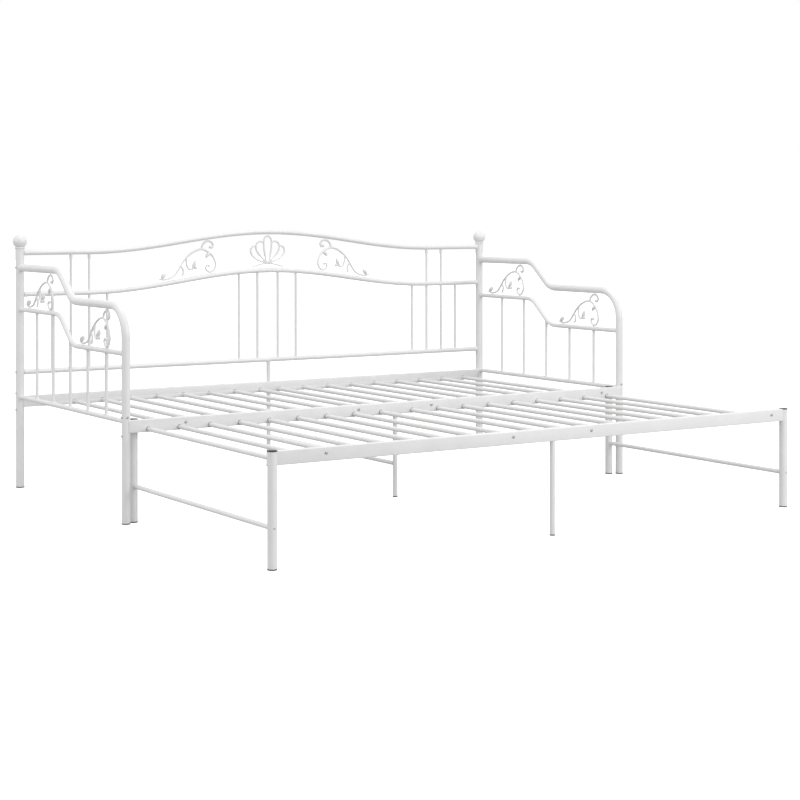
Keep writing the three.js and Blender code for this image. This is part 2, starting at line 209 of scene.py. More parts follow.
class DeckSizes(bpy.types.PropertyGroup):
    """Slats, feet, caps and screws."""

    slat_pitch: FloatProperty(
        name="Slat Pitch", description="Between slats of one frame", default=0.111,
        unit="LENGTH",
    )
    slats_per_side: IntProperty(
        name="Slats per Side", description="Each side of the middle", default=9, min=1, max=20
    )
    main_start: FloatProperty(
        name="First Main Slat", description="From the middle of the bed", default=0.0425,
        unit="LENGTH",
    )
    pull_start: FloatProperty(
        name="First Pull-out Slat", description="From the middle of the bed", default=0.0645,
        unit="LENGTH",
    )
    foot_height: FloatProperty(
        name="Foot Height", description="Plastic foot below the tube", default=0.004,
        unit="LENGTH",
    )
    foot_lip: FloatProperty(
        name="Foot Lip", description="Foot wider than its tube", default=0.0006, unit="LENGTH"
    )
    hole_clearance: FloatProperty(
        name="Hole Clearance", description="Round a slat in the front rail", default=0.001,
        unit="LENGTH",
    )
    bush_width: FloatProperty(
        name="Bush Width", description="Rim of the plastic bush round a slat", default=0.0014,
        unit="LENGTH",
    )
    bush_stand: FloatProperty(
        name="Bush Stand", description="How far a bush stands out of the rail",
        default=0.0008, unit="LENGTH",
    )
    bolt_radius: FloatProperty(
        name="Bolt Radius", description="Domed bolt heads", default=0.0045, unit="LENGTH"
    )
    rail_bolts: FloatVectorProperty(
        name="Rail Bolts", description="Places along the front rails",
        default=(-0.820, -0.157, 0.147, 0.926), size=4, unit="LENGTH",
    )


class Finishes(bpy.types.PropertyGroup):
    """Colours of the finishes."""

    coat: FloatVectorProperty(
        name="Powder Coat", description="White paint on the steel",
        default=(0.72, 0.72, 0.717), size=3, subtype="COLOR", min=0, max=1,
    )
    plastic: FloatVectorProperty(
        name="Plastic", description="Caps, feet and bushes", default=(0.013, 0.013, 0.014),
        size=3, subtype="COLOR", min=0, max=1,
    )
    bush: FloatVectorProperty(
        name="Bush", description="Bushes round the slats", default=(0.40, 0.40, 0.405), size=3,
        subtype="COLOR", min=0, max=1,
    )
    zinc: FloatVectorProperty(
        name="Zinc", description="Bolt heads", default=(0.52, 0.52, 0.53), size=3,
        subtype="COLOR", min=0, max=1,
    )
    floor: FloatVectorProperty(
        name="Floor", description="Studio floor", default=(0.42, 0.42, 0.42), size=3,
        subtype="COLOR", min=0, max=1,
    )


class StageSizes(bpy.types.PropertyGroup):
    """Camera and lights."""

    camera_place: FloatVectorProperty(
        name="Camera Place", description="Where the camera stands",
        default=(-3.436, -5.334, 1.005), size=3, unit="LENGTH",
    )
    camera_turn: FloatProperty(
        name="Camera Turn", description="Towards +X from straight ahead",
        default=math.radians(33.04), subtype="ANGLE",
    )
    camera_tip: FloatProperty(
        name="Camera Tip", description="Below the horizon", default=math.radians(0.33),
        subtype="ANGLE",
    )
    lens: FloatProperty(name="Lens", description="Focal length in mm", default=81.05)
    shift: FloatProperty(name="Shift", description="Vertical lens shift", default=-0.2232)
    sky_light: FloatProperty(
        name="Sky Light", description="Soft light from all round", default=0.95, min=0
    )
    floor_glow: FloatVectorProperty(
        name="Floor Glow", description="Light the floor gives off, and how bright it looks",
        default=(0.0, 1.0), size=2, min=0,
    )


# ---------- surfaces ----------
def ring_faces(rings, sides):
    """Quads between neighbouring rings, and a flat face that closes each end."""
    row = np.arange(rings - 1)[:, None] * sides
    here = np.arange(sides)
    after = (here + 1) % sides
    quads = np.stack([row + here, row + after, row + sides + after, row + sides + here], axis=-1)
    first = here[::-1].tolist()
    last = (here + (rings - 1) * sides).tolist()
    return quads.reshape(-1, 4).tolist() + [first, last]


def sweep(path, radius, across, sides):
    """Round tube. Point (s, a) is path(s) plus radius(s) times cos a along across and sin a along
    the tangent crossed with across, which stays square to a flat path."""
    path = np.asarray(path, float)
    tangent = np.gradient(path, axis=0)
    tangent /= np.linalg.norm(tangent, axis=1, keepdims=True)
    side = np.cross(tangent, across)
    angle = np.linspace(0, 2 * np.pi, sides, endpoint=False)
    wide = np.broadcast_to(radius, len(path))[:, None, None]
    turn = np.cos(angle)[None, :, None] * np.asarray(across)
    turn = turn + np.sin(angle)[None, :, None] * side[:, None, :]
    points = path[:, None, :] + wide * turn
    return points.reshape(-1, 3), ring_faces(len(path), sides)


def turned(profile, start, axis, sides):
    """Turned surface. Point (h, a) is start plus h along axis plus radius(h) round it."""
    reach, radius = np.asarray(profile, float).T
    axis = np.asarray(axis, float)
    across = ACROSS_X if abs(axis[0]) < 0.5 else ACROSS_Y
    side = np.cross(axis, across)
    angle = np.linspace(0, 2 * np.pi, sides, endpoint=False)
    turn = np.cos(angle)[:, None] * across + np.sin(angle)[:, None] * side
    centre = np.asarray(start) + reach[:, None] * axis
    points = centre[:, None, :] + radius[:, None, None] * turn[None]
    return points.reshape(-1, 3), ring_faces(len(reach), sides)


def straight(start, end, radius, flare, sides):
    """Straight tube whose radius swells by flare towards both ends, as a weld bead does:
    the swelling falls off with the square of the distance from the end."""
    start = np.asarray(start, float)
    run = np.asarray(end, float) - start
    length = np.linalg.norm(run)
    bead = min(0.005, length / 4)
    near = np.linspace(0, bead, 5)
    reach = np.concatenate([near, length - near[::-1]])
    away = np.minimum(reach, length - reach) / bead
    swell = flare * (1 - np.clip(away, 0, 1)) ** 2
    return turned(np.stack([reach, radius + swell], axis=1), start, run / length, sides)


def box_rail(low, high, corner, arc=6):
    """Box section along X with rounded corners: the outline is four quarter circles, and the
    ends step in by a small chamfer."""
    angle = np.linspace(0, np.pi / 2, arc)
    quarter = np.arange(4)[:, None] * np.pi / 2 + angle
    half = (high - low)[1:] / 2 - corner
    signs = np.array([[1, 1], [-1, 1], [-1, -1], [1, -1]])
    outline = signs[:, None, :] * half + corner * np.stack([np.cos(quarter), np.sin(quarter)], -1)
    outline = outline.reshape(-1, 2)
    bevel = corner / 4
    stations = np.array([low[0], low[0] + bevel, high[0] - bevel, high[0]])
    shrink = 1 - np.array([bevel, 0, 0, bevel]) / np.abs(outline).max()
    centre = (low + high)[1:] / 2
    points = np.empty((4, len(outline), 3))
    points[..., 0] = stations[:, None]
    points[..., 1:] = centre + shrink[:, None, None] * outline
    return points.reshape(-1, 3), ring_faces(4, len(outline))


def smooth_curve(points, steps):
    """Catmull-Rom curve: each stretch between two points is the cubic that leaves one and meets
    the next along the line joining their neighbours."""
    known = np.asarray(points, float)
    known = np.vstack([2 * known[0] - known[1], known, 2 * known[-1] - known[-2]])
    before, start, end, after = known[:-3], known[1:-2], known[2:-1], known[3:]
    t = np.linspace(0, 1, steps, endpoint=False)[None, :, None]
    a, b, c, d = (part[:, None, :] for part in (before, start, end, after))
    curve = b + t / 2 * (c - a + t * (2 * a - 5 * b + 4 * c - d + t * (3 * (b - c) + d - a)))
    return np.vstack([curve.reshape(-1, known.shape[1]), known[-2]])


def rounded_path(corners, radii, arc=14):
    """Straight runs joined by circular arcs of the given radii."""
    corners = np.asarray(corners, float)
    path = [corners[:1]]
    for i, radius in enumerate(radii, start=1):
        into = corners[i] - corners[i - 1]
        into /= np.linalg.norm(into)
        out = corners[i + 1] - corners[i]
        out /= np.linalg.norm(out)
        angle = np.arccos(into @ out)
        side = out - into * (out @ into)
        side /= np.linalg.norm(side)
        start = corners[i] - into * radius * math.tan(angle / 2)
        a = np.linspace(0, angle, arc)[:, None]
        path.append(start + radius * (np.sin(a) * into + (1 - np.cos(a)) * side))
    path.append(corners[-1:])
    return np.vstack(path)


def with_close_ends(path, reach=0.004):
    """Adds a station just inside each end, so that the ends stay square."""
    first = path[0] + reach * (path[1] - path[0]) / np.linalg.norm(path[1] - path[0])
    last = path[-1] + reach * (path[-2] - path[-1]) / np.linalg.norm(path[-2] - path[-1])
    return np.vstack([path[:1], first, path[1:-1], last, path[-1:]])


def make_piece(name, parts, material, body, nodes=()):
    """One mesh object from several surfaces. It rides on a body and stands for CAD nodes."""
    counts = [len(points) for points, _ in parts]
    offsets = np.concatenate([[0], np.cumsum(counts)[:-1]]).astype(int).tolist()
    vertices = np.vstack([points for points, _ in parts])
    faces = [[k + first for k in face] for (_, part), first in zip(parts, offsets) for face in part]
    mesh = bpy.data.meshes.new(name)
    mesh.from_pydata(vertices, [], faces)
    mesh.polygons.foreach_set("use_smooth", np.ones(len(mesh.polygons), bool))
    mesh.set_sharp_from_angle(angle=SHARP)
    mesh.materials.append(material)
    piece = bpy.data.objects.new(name, mesh)
    bpy.context.scene.collection.objects.link(piece)
    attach(piece, body)
    if nodes:
        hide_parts(*nodes)
    return piece


# ---------- finishes ----------
def new_material(name, colour, roughness, metallic=0.0):
    material = bpy.data.materials.new(name)
    material.use_nodes = True
    shader = material.node_tree.nodes["Principled BSDF"]
    shader.inputs["Base Color"].default_value = (*colour, 1)
    shader.inputs["Roughness"].default_value = roughness
    shader.inputs["Metallic"].default_value = metallic
    return material


def add_noise(material, scale, detail=2.0):
    tree = material.node_tree
    place = tree.nodes.new("ShaderNodeTexCoord")
    noise = tree.nodes.new("ShaderNodeTexNoise")
    noise.inputs["Scale"].default_value = scale
    noise.inputs["Detail"].default_value = detail
    tree.links.new(place.outputs["Object"], noise.inputs["Vector"])
    return noise.outputs["Fac"]


def vary_colour(material, fac, dark, light):
    tree = material.node_tree
    ramp = tree.nodes.new("ShaderNodeValToRGB")
    ramp.color_ramp.elements[0].color = (*dark, 1)
    ramp.color_ramp.elements[1].color = (*light, 1)
    ramp.color_ramp.elements[0].position = 0.3
    ramp.color_ramp.elements[1].position = 0.7
    tree.links.new(fac, ramp.inputs["Fac"])
    shader = tree.nodes["Principled BSDF"]
    tree.links.new(ramp.outputs["Color"], shader.inputs["Base Color"])


def vary_roughness(material, fac, low, high):
    tree = material.node_tree
    spread = tree.nodes.new("ShaderNodeMapRange")
    spread.inputs["To Min"].default_value = low
    spread.inputs["To Max"].default_value = high
    tree.links.new(fac, spread.inputs["Value"])
    tree.links.new(spread.outputs["Result"], tree.nodes["Principled BSDF"].inputs["Roughness"])


def add_bump(material, fac, distance, strength):
    tree = material.node_tree
    bump = tree.nodes.new("ShaderNodeBump")
    bump.inputs["Distance"].default_value = distance
    bump.inputs["Strength"].default_value = strength
    tree.links.new(fac, bump.inputs["Height"])
    tree.links.new(bump.outputs["Normal"], tree.nodes["Principled BSDF"].inputs["Normal"])


def scaled(colour, factor):
    return tuple(min(1.0, part * factor) for part in colour)


def powder_coat(colour):
    """White baked powder: a faint mottle, a fine orange-peel bump and a soft gloss."""
    material = new_material("powder_coat", colour, 0.36)
    material.node_tree.nodes["Principled BSDF"].inputs["Coat Weight"].default_value = 0.2
    material.node_tree.nodes["Principled BSDF"].inputs["Coat Roughness"].default_value = 0.25
    cloud = add_noise(material, 14, 3)
    vary_colour(material, cloud, scaled(colour, 0.975), scaled(colour, 1.02))
    vary_roughness(material, add_noise(material, 45), 0.30, 0.42)
    add_bump(material, add_noise(material, 620, 2), 0.0002, 0.25)
    return material


def moulded_plastic(name, colour, roughness):
    """Moulded plastic with a fine spark-eroded grain."""
    material = new_material(name, colour, roughness)
    vary_colour(material, add_noise(material, 60), scaled(colour, 0.8), scaled(colour, 1.25))
    add_bump(material, add_noise(material, 1800, 1), 0.0001, 0.35)
    return material


def zinc_plate(colour):
    """Dull zinc plating with uneven brightness."""
    material = new_material("zinc_plate", colour, 0.4, 1.0)
    vary_colour(material, add_noise(material, 300), scaled(colour, 0.85), scaled(colour, 1.1))
    vary_roughness(material, add_noise(material, 500), 0.3, 0.5)
    return material


def finish_of(name):
    """A finish by name, made once from the scene's colours."""
    known = bpy.data.materials.get(name)
    if known:
        return known
    colours = bpy.context.scene.daybed_finishes
    makers = {
        "powder_coat": lambda: powder_coat(colours.coat),
        "black_plastic": lambda: moulded_plastic("black_plastic", colours.plastic, 0.5),
        "bush_plastic": lambda: moulded_plastic("bush_plastic", colours.bush, 0.55),
        "zinc_plate": lambda: zinc_plate(colours.zinc),
    }
    return makers[name]()


def steel_piece(name, parts, body, nodes=()):
    return make_piece(name, parts, finish_of("powder_coat"), body, nodes)


# ---------- shapes of the back panel and the arms ----------
def middle_rail_height(x, panel):
    """Level from the posts, then half a cosine wave up to the middle of the bed."""
    share = np.clip(np.abs(x) / (POST[0] - panel.rise_start), 0, 1)
    return panel.middle_rail_z + panel.rail_rise * (1 + np.cos(np.pi * share)) / 2


def back_rail(height, tubes):
    """Tube from post to post along the curve that height gives."""
    end = POST[0] - tubes.post_radius + LET_IN
    x = np.linspace(-end, end, 121)
    path = np.stack([x, np.full_like(x, POST[1]), np.broadcast_to(height(x), x.shape)], axis=1)
    away = np.minimum(x + end, end - x)
    swell = tubes.weld_flare * np.clip(1 - away / 0.02, 0, 1) ** 2
    return sweep(path, tubes.rail_radius + swell, ACROSS_Y, tubes.sides)


def arm_line(x, drop, panel, ending):
    """Centre line of an arm tube: level, down the slope, level again, then its ending."""
    front = front_leg_y()
    rear = POST[1] - bpy.context.scene.daybed_tubes.post_radius + LET_IN
    corners = [
        (x, rear, panel.arm_top_z - drop),
        (x, front + panel.arm_upper_bend, panel.arm_top_z - drop),
        (x, front + panel.arm_lower_bend, panel.arm_low_z - drop),
        *ending,
    ]
    radii = [panel.bend_radius, panel.bend_radius, panel.front_radius][: len(corners) - 2]
    return with_close_ends(rounded_path(corners, radii))


# The scroll lies flat: the first number runs from its head to its tail, the second up from
# the rail it stands on. Millimetres.
SCROLL_STEM = (
    (245, 15), (232, 10), (218, 8.5), (198, 11), (179, 18), (164, 32), (150, 48), (132, 68),
    (111, 84), (87, 96), (65, 101), (47, 99.5), (31, 91), (14, 76), (3.5, 57), (-1, 38), (4, 21),
    (15, 10.5), (29, 8.5), (40, 16), (43, 27), (37, 35.5), (29, 33),
)
TOP_CURL = (
    (50, 99), (49, 109), (42, 119), (31, 126), (17, 127.5), (5, 121), (0.5, 110), (6, 101),
    (14, 103),
)
TENDRIL = ((117, 81), (121.5, 64), (121.5, 47), (116, 35), (106, 30), (96, 35.5), (92, 45))
TENDRIL_LEAF = ((102, 34), (93, 43), (88, 52), (83, 63))
TENDRIL_LOBE = ((95, 39), (87, 34), (79, 36))
INNER_LEAF = ((16, 81), (24, 78), (31, 72), (38, 63))
STALK = ((148, 50), (141, 38), (140, 26), (146, 11))
BUD = ((233, 10), (229, 20), (221, 27), (213, 31))
CENTRE_PETAL = (
    (-6, 28), (-9, 45), (-13, 65), (-16.5, 88), (-17.5, 110), (-14, 125), (-6, 132.5), (0, 134),
    (6, 132.5), (14, 125), (17.5, 110), (16.5, 88), (13, 65), (9, 45), (6, 28),
)
INNER_PETAL = (
    (17, 105), (22, 111), (31, 113.5), (42, 111), (50, 103), (52.5, 90), (48, 76), (39, 63),
    (27, 50.5), (16, 40), (8, 29),
)
OUTER_PETAL = (
    (51.5, 96.5), (61, 95.5), (70, 90), (75.5, 81), (74.5, 69), (67, 57), (56, 47.5), (42, 39.5),
    (28, 35.5), (16, 33), (8, 28),
)
SHELL_BASE = ((-70, 12.5), (-52, 18.5), (-36, 22.5), (-18, 26), (0, 27.5), (18, 26), (36, 22.5),
              (52, 18.5), (70, 12.5))
STAND = 0.0048  # from the rail's centre to the outline's zero, so that the curls rest on the rail
MM = 0.001


def wire(points, radius, taper, sides=14, steps=8):
    """Wire along a smooth flat curve; its radius falls by taper towards both ends."""
    flat = smooth_curve(np.array(points) * MM, steps)
    path = np.stack([flat[:, 0], np.zeros(len(flat)), flat[:, 1]], axis=1)
    s = np.linspace(-1, 1, len(path))
    return sweep(path, radius * (1 - taper * s**6), ACROSS_Y, sides)


def leaf(points, radius, sides=14):
    """Leaf along a curve: its half width is a half sine wave, so it is fullest in the middle."""
    flat = smooth_curve(np.array(points) * MM, 8)
    path = np.stack([flat[:, 0], np.zeros(len(flat)), flat[:, 1]], axis=1)
    s = np.linspace(0.04, 0.97, len(path))
    return sweep(path, radius * np.sin(np.pi * s) ** 0.7, ACROSS_Y, sides)


def knob(place, radius, sides=18):
    """Round knob: radius at height h is that of a sphere."""
    a = np.linspace(0.12, np.pi - 0.12, 13)
    profile = np.stack([-radius * np.cos(a), radius * np.sin(a)], axis=1)
    return turned(profile, (place[0] * MM, 0, place[1] * MM), UP, sides)


def scroll_parts(wire_radius):
    return [
        wire(SCROLL_STEM, wire_radius, 0.25),
        wire(TOP_CURL, wire_radius, 0.2),
        wire(TENDRIL, wire_radius * 0.95, 0.2),
        wire(STALK, wire_radius * 0.95, 0.1),
        leaf(TENDRIL_LEAF, wire_radius * 1.9),
        leaf(TENDRIL_LOBE, wire_radius * 1.6),
        leaf(INNER_LEAF, wire_radius * 1.7),
        leaf(BUD, wire_radius * 2.1),
        knob(SCROLL_STEM[-1], wire_radius * 1.35),
        knob(TOP_CURL[-1], wire_radius * 1.35),
    ]


def placed(parts, origin, heading, tilt):
    """Turns flat parts down by tilt, then round by heading, and moves them to origin."""
    tip = np.array([
        [math.cos(tilt), 0, math.sin(tilt)], [0, 1, 0], [-math.sin(tilt), 0, math.cos(tilt)],
    ])
    turn = np.array([
        [math.cos(heading), -math.sin(heading), 0], [math.sin(heading), math.cos(heading), 0],
        [0, 0, 1],
    ])
    lift = np.array([0, 0, STAND])
    return [((points + lift) @ (turn @ tip).T + origin, faces) for points, faces in parts]


def shell_parts(radius):
    flip = [tuple((-u, v) for u, v in petal) for petal in (INNER_PETAL, OUTER_PETAL)]
    petals = [INNER_PETAL, OUTER_PETAL, *flip]
    return [
        wire(CENTRE_PETAL, radius, 0.0),
        *[wire(petal, radius, 0.1) for petal in petals],
        wire(SHELL_BASE, radius, 0.25),
        leaf(((-22, 27), (0, 31), (22, 27)), radius * 1.5),
    ]


# ---------- slats, feet, bolts ----------
def slat_places(start, deck):
    return start + deck.slat_pitch * np.arange(deck.slats_per_side)


def foot(x, y, radius, deck, sides):
    """Plastic foot: straight wall with rounded lower and upper edges."""
    wide = radius + deck.foot_lip
    edge = 0.0012
    profile = [
        (0, wide - edge), (edge * 0.3, wide - edge * 0.3), (edge, wide),
        (deck.foot_height - edge, wide), (deck.foot_height - edge * 0.3, wide - edge * 0.3),
        (deck.foot_height, wide - edge),
    ]
    return turned(profile, (x, y, 0), UP, sides)


def bush(x, y, z, towards, radius, deck):
    """Rim round a slat: a ring with a rounded outer edge, closed on itself."""
    inner = radius + deck.hole_clearance * 0.55
    outer = inner + deck.bush_width
    stand = deck.bush_stand
    loop = np.array([
        (-0.004, inner), (stand, inner), (stand, outer - 0.0006), (stand * 0.5, outer),
        (0, outer), (-0.0008, outer), (-0.0008, inner + 0.0004), (-0.004, inner + 0.0004),
    ])
    points, _ = turned(loop, (x, y, z), np.array([0, towards, 0.0]), 28)
    rings = np.arange(len(loop))[:, None] * 28
    here = np.arange(28)
    after = (here + 1) % 28
    up = (rings + 28) % (len(loop) * 28)
    quads = np.stack([rings + here, up + here, up + after, rings + after], axis=-1)
    return points, quads.reshape(-1, 4).tolist()


def bolt(place, axis, radius):
    """Domed head on a thin flange, with a shallow dished drive in its crown."""
    profile = [
        (-0.001, radius * 0.6), (0.0, radius * 1.15), (0.0006, radius * 1.18), (0.001, radius),
        (0.0020, radius * 0.9), (0.0028, radius * 0.68), (0.0031, radius * 0.45),
        (0.0022, radius * 0.34), (0.0020, radius * 0.05),
    ]
    return turned(profile, place, np.asarray(axis, float), 24)


# ---------- operators ----------
class DAYBED_OT_posts(bpy.types.Operator):
    """Rear posts with their ball finials."""

    bl_idname = "daybed.posts"
    bl_label = "Posts and Finials"

    def execute(self, context):
        tubes = context.scene.daybed_tubes
        deck = context.scene.daybed_deck
        for side, sign in SIDES:
            high = corners_of(f"{side}_rear_post")[1]
            x = sign * POST[0]
            start = (x, POST[1], deck.foot_height * 0.8)
            end = (x, POST[1], high[2] + 0.001)
            post = straight(start, end, tubes.post_radius, 0, tubes.sides)
            steel_piece(f"{side}_post_tube", [post], MAIN, [f"{side}_rear_post"])
            steel_piece(f"{side}_ball", self.ball(side, x, tubes), MAIN, [f"{side}_ball_finial"])
        return {"FINISHED"}

    def ball(self, side, x, tubes):
        """Sphere on a short collar; radius at height h is that of a circle."""
        low, high = corners_of(f"{side}_ball_finial")
        radius = (high[0] - low[0]) / 2
        centre = high[2] - radius
        a = np.linspace(0.42, np.pi - 0.05, 40)
        sphere = np.stack([-radius * np.cos(a), radius * np.sin(a)], axis=1)
        post = tubes.post_radius
        collar = [(-0.0275, post + 0.0004), (-0.0262, post + 0.002), (-0.0238, post + 0.0027),
                  (-0.0215, post + 0.002), (-0.0200, post + 0.0002)]
        origin = (x, POST[1], centre)
        return [turned(sphere, origin, UP, 48), turned(collar, origin, UP, 48)]


class DAYBED_OT_back_panel(bpy.types.Operator):
    """Rails and spindles of the back panel."""

    bl_idname = "daybed.back_panel"
    bl_label = "Back Panel"

    def execute(self, context):
        tubes = context.scene.daybed_tubes
        panel = context.scene.daybed_panel
        lower = middle_of("back_lower_rail")[2]

        def middle(x):
            return middle_rail_height(x, panel)

        heights = {
            "lower": lambda x: np.full_like(x, lower),
            "middle": middle,
            "top": lambda x: middle(x) + panel.rail_step,
        }
        for name, height in heights.items():
            rail = back_rail(height, tubes)
            steel_piece(f"back_{name}_tube", [rail], MAIN, [f"back_{name}_rail"])
        for side, _ in SIDES:
            for kind, count in (("back", 4), ("centre", 2), ("upper", 2)):
                for k in range(1, count + 1):
                    self.spindle(f"{side}_{kind}_spindle_{k}", tubes)
        strut = middle_of("back_centre_strut")
        low, high = corners_of("back_centre_strut")
        start, end = (strut[0], strut[1], low[2] - 0.001), (strut[0], strut[1], high[2] + 0.004)
        tube = straight(start, end, tubes.small_leg_radius, tubes.weld_flare, tubes.sides)
        steel_piece("back_strut_tube", [tube], MAIN, ["back_centre_strut"])
        return {"FINISHED"}

    def spindle(self, node, tubes):
        low, high = corners_of(node)
        x, y, _ = middle_of(node)
        reach = 0.0025
        start, end = (x, y, low[2] - reach), (x, y, high[2] + reach)
        tube = straight(start, end, tubes.spindle_radius, tubes.weld_flare, tubes.sides)
        steel_piece(f"{node}_rod", [tube], MAIN, [node])


class DAYBED_OT_arms(bpy.types.Operator):
    """Arm hoops, their rails and spindles."""

    bl_idname = "daybed.arms"
    bl_label = "Arms"

    def execute(self, context):
        tubes = context.scene.daybed_tubes
        panel = context.scene.daybed_panel
        deck = context.scene.daybed_deck
        front = front_leg_y()
        for side, sign in SIDES:
            x = sign * POST[0]
            ending = [(x, front, panel.arm_low_z), (x, front, deck.foot_height * 0.8)]
            line = arm_line(x, 0, panel, ending)
            hoop = sweep(line, tubes.leg_radius, ACROSS_X, tubes.sides)
            steel_piece(f"{side}_hoop_tube", [hoop], MAIN, [f"{side}_arm_hoop"])
            inside = (x, front + tubes.leg_radius - LET_IN, panel.arm_low_z - panel.arm_step)
            line = arm_line(x, panel.arm_step, panel, [inside])
            rail = sweep(line, tubes.arm_rail_radius, ACROSS_X, tubes.sides)
            steel_piece(f"{side}_arm_middle_tube", [rail], MAIN, [f"{side}_arm_middle_rail"])
            self.spindles(side, x, front, line)
        return {"FINISHED"}

    def spindles(self, side, x, front, line):
        """Bottom rail with spindles that end just inside the middle rail."""
        tubes = bpy.context.scene.daybed_tubes
        panel = bpy.context.scene.daybed_panel
        node = f"{side}_arm_spindle_panel"
        low, high = corners_of(node)
        z = low[2] + tubes.arm_rail_radius
        ends = (x, low[1] - LET_IN, z), (x, high[1] + LET_IN, z)
        parts = [straight(*ends, tubes.arm_rail_radius, tubes.weld_flare, tubes.sides)]
        order = np.argsort(line[:, 1])
        for k in range(panel.spindle_count):
            y = front + panel.spindle_start + panel.spindle_pitch * k
            top = np.interp(y, line[order, 1], line[order, 2]) - tubes.arm_rail_radius + 0.001
            start, end = (x, y, z + tubes.arm_rail_radius - 0.001), (x, y, top)
            parts.append(straight(start, end, tubes.spindle_radius, tubes.weld_flare, tubes.sides))
        steel_piece(f"{side}_arm_rods", parts, MAIN, [node])


class DAYBED_OT_ornaments(bpy.types.Operator):
    """Scrolls of the back and arms, and the shell."""

    bl_idname = "daybed.ornaments"
    bl_label = "Scrolls and Shell"

    def execute(self, context):
        tubes = context.scene.daybed_tubes
        panel = context.scene.daybed_panel
        parts = scroll_parts(tubes.wire_radius)
        head = panel.scroll_tail - panel.scroll_length
        near, far = middle_rail_height(np.array([head + 0.02, panel.scroll_tail - 0.02]), panel)
        tilt = math.atan2(near - far, panel.scroll_length - 0.04)
        z = middle_rail_height(head, panel) + 0.0025
        for side, sign in SIDES:
            heading = 0 if sign > 0 else math.pi
            origin = np.array([sign * head, POST[1], z])
            name = f"{side}_back_scroll"
            back = placed(parts, origin, heading, tilt)
            steel_piece(f"{name}_casting", back, MAIN, [name])
        self.arm_scrolls(parts, panel)
        crown = np.array([0, POST[1], middle_rail_height(0, panel) + 0.0003 - STAND])
        shell = placed(shell_parts(tubes.shell_radius), crown, 0, 0)
        steel_piece("shell_casting", shell, MAIN, ["shell_ornament"])
        return {"FINISHED"}

    def arm_scrolls(self, parts, panel):
        front = front_leg_y()
        tops = (panel.arm_top_z, panel.arm_low_z)
        for side, sign in SIDES:
            for place, reach, top in zip(("rear", "front"), panel.arm_scroll_heads, tops):
                origin = np.array([sign * POST[0], front + reach, top - panel.arm_step])
                name = f"{side}_arm_{place}_scroll"
                arm = placed(parts, origin, math.pi / 2, 0)
                steel_piece(f"{name}_casting", arm, MAIN, [name])


class DAYBED_OT_rails(bpy.types.Operator):
    """Long box rails, with bushed holes through the main front rail."""

    bl_idname = "daybed.rails"
    bl_label = "Rails"

    def execute(self, context):
        tubes = context.scene.daybed_tubes
        rails = {
            "rear_rail": MAIN,
            "front_rail": MAIN,
            "pull_out_front_rail": PULL_OUT,
            "pull_out_rear_rail": PULL_OUT,
        }
        let_in = tubes.leg_radius * 0.7
        for node, body in rails.items():
            low, high = corners_of(node)
            low[0] -= let_in
            high[0] += let_in
            bar = [box_rail(low, high, tubes.rail_corner)]
            piece = steel_piece(f"{node}_tube", bar, body, [node])
            if node == "front_rail":
                self.bore(piece, low, high, context)
        self.bushes(context)
        return {"FINISHED"}

    def bore(self, rail, low, high, context):
        """Cuts a round hole through the rail for each pull-out slat."""
        tubes = context.scene.daybed_tubes
        deck = context.scene.daybed_deck
        z = corners_of("right_pull_out_slats")[1][2] - tubes.slat_radius
        radius = tubes.slat_radius + deck.hole_clearance
        parts = []
        for x in slat_places(deck.pull_start, deck):
            for _, sign in SIDES:
                start, end = (sign * x, low[1] - 0.01, z), (sign * x, high[1] + 0.01, z)
                parts.append(straight(start, end, radius, 0, 32))
        drill = steel_piece("drill", parts, MAIN)
        cut = rail.modifiers.new("holes", "BOOLEAN")
        cut.object = drill
        cut.solver = "EXACT"
        shaped = rail.evaluated_get(context.evaluated_depsgraph_get())
        mesh = bpy.data.meshes.new_from_object(shaped)
        rail.modifiers.clear()
        rail.data = mesh
        mesh.set_sharp_from_angle(angle=SHARP)
        bpy.data.objects.remove(drill)

    def bushes(self, context):
        """Plastic rims where slats pass the front rail and where they end in the rear rail."""
        tubes = context.scene.daybed_tubes
        deck = context.scene.daybed_deck
        z = corners_of("right_pull_out_slats")[1][2] - tubes.slat_radius
        low, high = corners_of("front_rail")
        rear_face = corners_of("rear_rail")[0][1]
        parts = []
        for x in slat_places(deck.pull_start, deck):
            for _, sign in SIDES:
                parts.append(bush(sign * x, low[1], z, -1, tubes.slat_radius, deck))
                parts.append(bush(sign * x, high[1], z, 1, tubes.slat_radius, deck))
        make_piece("front_rail_bushes", parts, finish_of("bush_plastic"), MAIN)
        ends = []
        for x in slat_places(deck.main_start, deck):
            for _, sign in SIDES:
                ends.append(bush(sign * x, rear_face, z, -1, tubes.slat_radius, deck))
        make_piece("rear_rail_bushes", ends, finish_of("bush_plastic"), MAIN)


